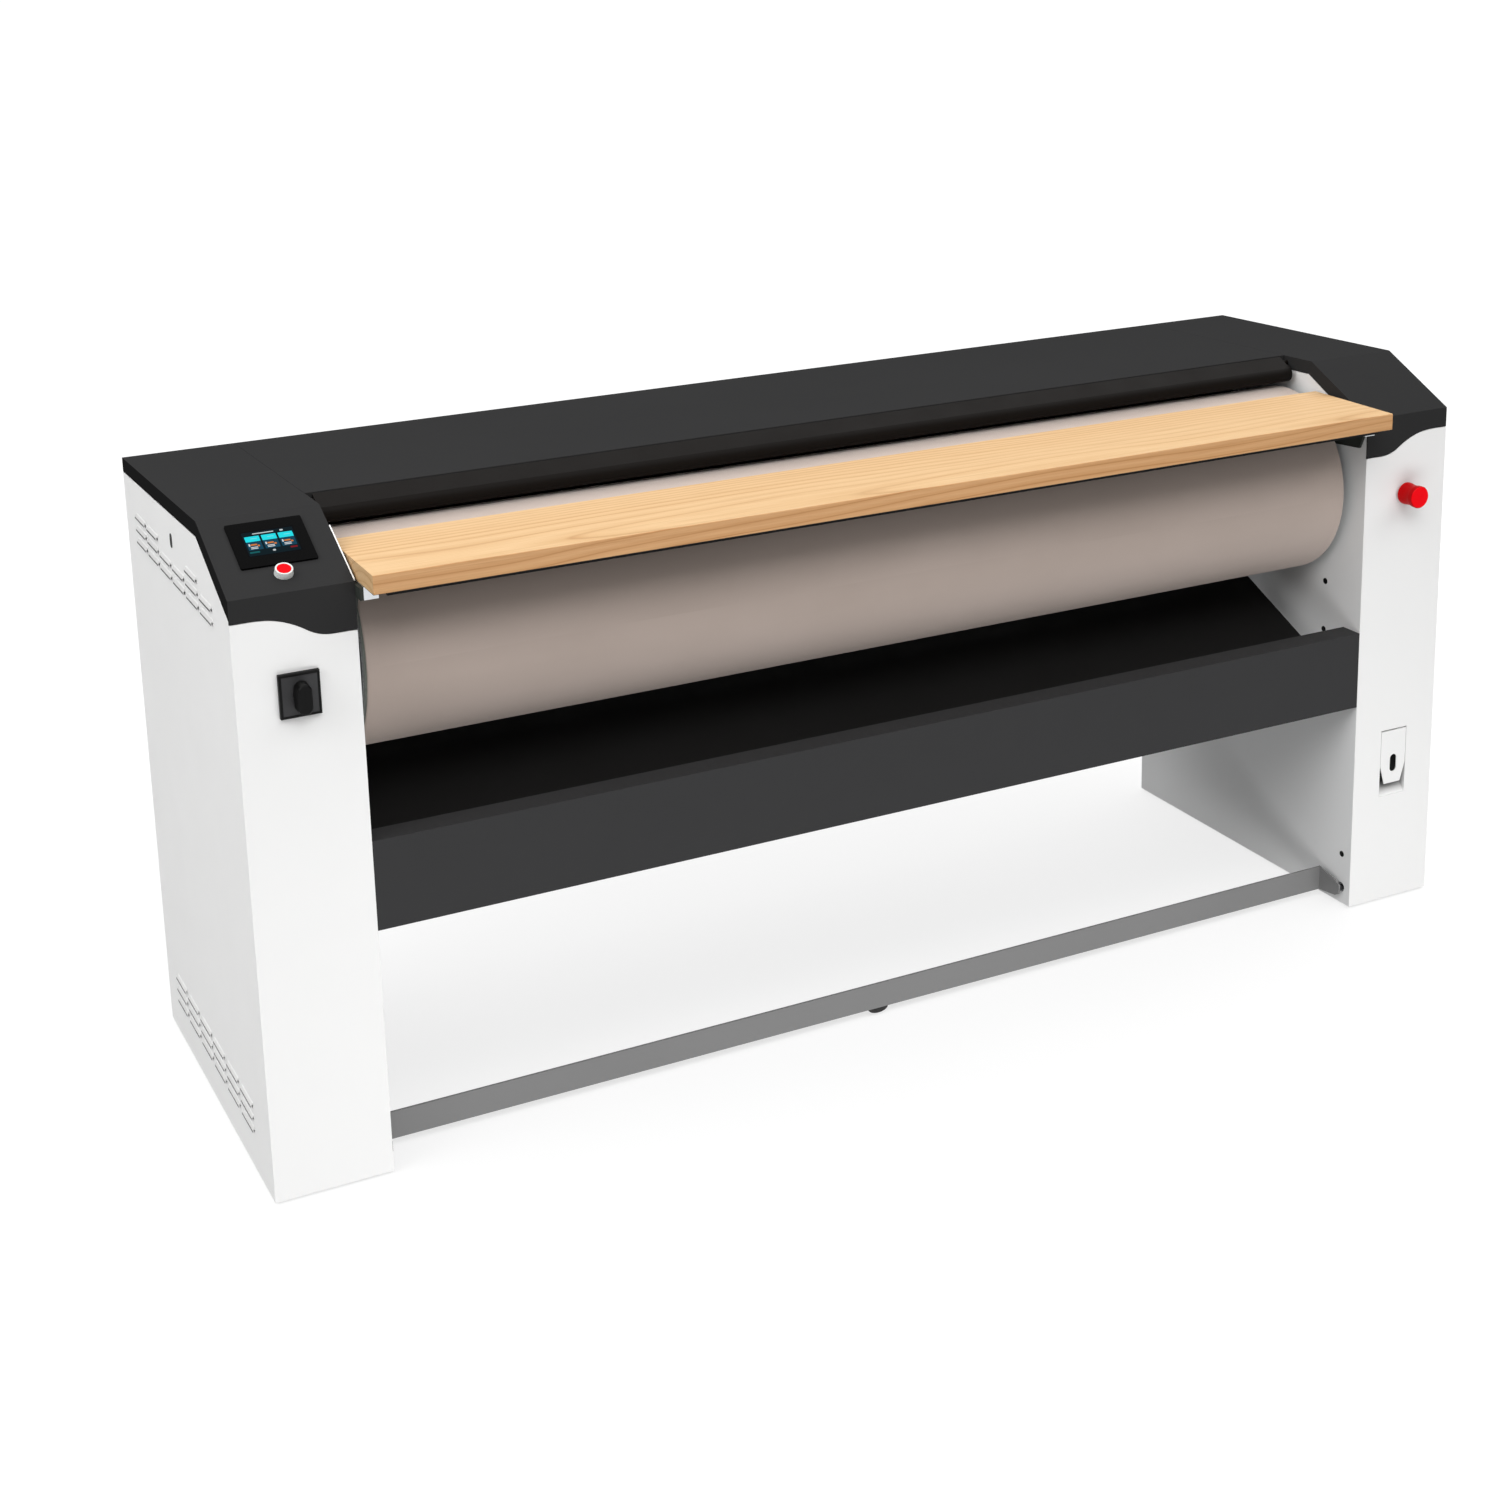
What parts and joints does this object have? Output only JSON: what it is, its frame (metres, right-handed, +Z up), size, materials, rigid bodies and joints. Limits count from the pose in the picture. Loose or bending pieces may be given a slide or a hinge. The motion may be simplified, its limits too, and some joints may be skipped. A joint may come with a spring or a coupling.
{
  "type": "flatwork ironer",
  "caption": "Free-standing roll ironer: padded roll against a heated chest between two cabinets, wooden feed board, finger guard, collecting trough and treadle bar.",
  "frame": {"origin": "middle of the floor rectangle under the whole machine, feed board included", "axes": "+Z up, +X along the roll towards the right of someone standing at the feed board, -Y towards that person"},
  "size_m": [2.15, 0.711, 0.985],
  "materials": {
    "white_paint": "satin powder coat, white",
    "black_paint": "satin powder coat, black",
    "grey_paint": "matt powder coat, dark grey",
    "treadle_paint": "satin powder coat, mid grey",
    "frame_paint": "matt grey primer",
    "board_wood": "clear varnish, satin",
    "roll_cloth": "fine woven, matt",
    "roll_felt": "felt, matt",
    "steel": "satin",
    "zinc": "bright zinc plate",
    "chest_metal": "polished face",
    "jacket_metal": "matt sheet",
    "iron": "machined and oiled",
    "rubber": "matt",
    "black_plastic": "fine texture",
    "grey_plastic": "fine texture",
    "unit_plastic": "satin",
    "knob_plastic": "gloss",
    "red_plastic": "gloss",
    "screen": "gloss, backlit tiles",
    "bright_ring": "polished",
    "motor_paint": "satin"
  },
  "bodies": {
    "machine": {"left_end_cover": "black_paint", "right_end_cover": "black_paint", "centre_cover": "black_paint", "left_side_shell": "white_paint", "right_side_shell": "white_paint", "left_front_panel": "white_paint", "right_front_panel": "white_paint", "left_inner_panel": "white_paint", "right_inner_panel": "white_paint", "rear_cover": "black_paint", "rear_cover_screws": "zinc", "left_side_frame": "frame_paint", "right_side_frame": "frame_paint", "upper_cross_beam": "frame_paint", "rear_cross_beam": "frame_paint", "chute_beam": "frame_paint", "levelling_feet": "zinc", "left_roll_bearing": "iron", "right_roll_bearing": "iron", "gearmotor": "motor_paint", "drive_belt": "rubber", "chest_actuator_bodies": "grey_plastic", "limit_switches": "grey_plastic", "feed_board": "board_wood", "feed_board_brackets": "zinc", "feed_board_stiffener": "black_paint", "trough_front_panel": "grey_paint", "chute_plate": "black_paint", "touch_panel_bezel": "black_plastic", "touch_panel_glass": "screen", "stop_button_ring": "bright_ring", "main_switch_plate": "grey_plastic", "main_switch_body": "unit_plastic", "emergency_button_body": "grey_plastic", "crank_pocket": "white_paint", "fan_housing": "zinc", "fan_motor": "motor_paint", "exhaust_spigot": "zinc", "cable_gland": "black_plastic", "control_unit": "unit_plastic"},
    "roll": {"roll_tube": "steel", "roll_padding": "roll_felt", "roll_cloth": "roll_cloth", "roll_end_left": "steel", "roll_end_right": "steel", "roll_pulley": "iron"},
    "drive_pinion": {"motor_pulley": "steel"},
    "chest": {"heated_chest": "chest_metal", "heater_rods": "steel", "chest_jacket": "jacket_metal", "chest_actuator_rods": "steel"},
    "guard": {"finger_guard": "black_paint"},
    "treadle": {"foot_bar": "treadle_paint", "foot_bar_pins": "zinc", "foot_bar_buffer": "rubber"},
    "stop_button": {"stop_button_cap": "red_plastic"},
    "main_switch": {"main_switch_knob": "knob_plastic"},
    "emergency_stop": {"emergency_button": "red_plastic"},
    "flap": {"crank_flap": "white_paint"},
    "impeller": {"fan_impeller": "zinc"}
  },
  "joints": [
    {"name": "roll_spin", "type": "hinge", "parent": "machine", "child": "roll", "pos_m": [0, -0.087, 0.768], "axis": [-1, 0, 0], "continuous": true},
    {"name": "pinion_spin", "type": "hinge", "parent": "machine", "child": "drive_pinion", "pos_m": [0.955, -0.06, 0.47], "axis": [-1, 0, 0], "continuous": true},
    {"name": "chest_lift_off", "type": "slide", "parent": "machine", "child": "chest", "axis": [0, 1, 0], "range_m": [0, 0.01]},
    {"name": "guard_swing", "type": "hinge", "parent": "machine", "child": "guard", "pos_m": [0, -0.065, 0.9715], "axis": [1, 0, 0], "range_deg": [0, 10], "stiffness_Nm_per_rad": 6, "springref_deg": -17.19},
    {"name": "treadle_press", "type": "hinge", "parent": "machine", "child": "treadle", "pos_m": [0, -0.264, 0.034], "axis": [-1, 0, 0], "range_deg": [0, 4], "stiffness_Nm_per_rad": 30, "springref_deg": -6.88},
    {"name": "stop_button_press", "type": "slide", "parent": "machine", "child": "stop_button", "axis": [0, 0.432, -0.9019], "range_m": [0, 0.003], "stiffness_N_per_m": 600, "springref_m": -0.002},
    {"name": "main_switch_turn", "type": "hinge", "parent": "machine", "child": "main_switch", "pos_m": [-0.98325, -0.2875, 0.764], "axis": [0, 1, 0], "range_deg": [0, 90]},
    {"name": "emergency_stop_press", "type": "slide", "parent": "machine", "child": "emergency_stop", "axis": [0, 1, 0], "range_m": [0, 0.004]},
    {"name": "crank_flap_lift", "type": "hinge", "parent": "machine", "child": "flap", "pos_m": [0.98325, -0.2835, 0.325], "axis": [-1, 0, 0], "range_deg": [0, 90]},
    {"name": "fan_spin", "type": "hinge", "parent": "machine", "child": "impeller", "pos_m": [-0.56, 0.215, 0.56], "axis": [1, 0, 0], "continuous": true}
  ],
  "couplings": [
    {"joint": "pinion_spin", "follows": "roll_spin", "ratio": 3.125}
  ]
}
